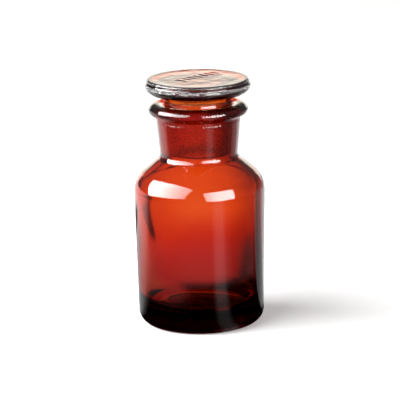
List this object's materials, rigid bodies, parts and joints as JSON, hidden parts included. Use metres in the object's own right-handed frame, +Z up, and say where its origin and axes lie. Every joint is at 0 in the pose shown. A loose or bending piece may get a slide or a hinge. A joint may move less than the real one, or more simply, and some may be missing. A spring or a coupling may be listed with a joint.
{
  "type": "reagent bottle",
  "caption": "Wide-mouth amber glass reagent bottle: round body, short neck with a rolled lip, and a flat-headed ground glass stopper that lifts out.",
  "frame": {"origin": "centre of the foot, on the surface that the bottle stands on", "axes": "+Z up along the bottle's axis, from the foot to the stopper; the shape is turned, so X and Y are any two level directions"},
  "size_m": [0.057, 0.057, 0.1085],
  "materials": {
    "amber_glass": "clear amber glass, fire polished",
    "stopper_glass": "amber glass, ground on the plug and on the head's rim"
  },
  "bodies": {
    "bottle": {"bottle": "amber_glass"},
    "stopper": {"stopper": "stopper_glass"}
  },
  "joints": [
    {"name": "stopper_lift", "type": "slide", "parent": "bottle", "child": "stopper", "axis": [0, 0, 1], "range_m": [0, 0.045]}
  ]
}
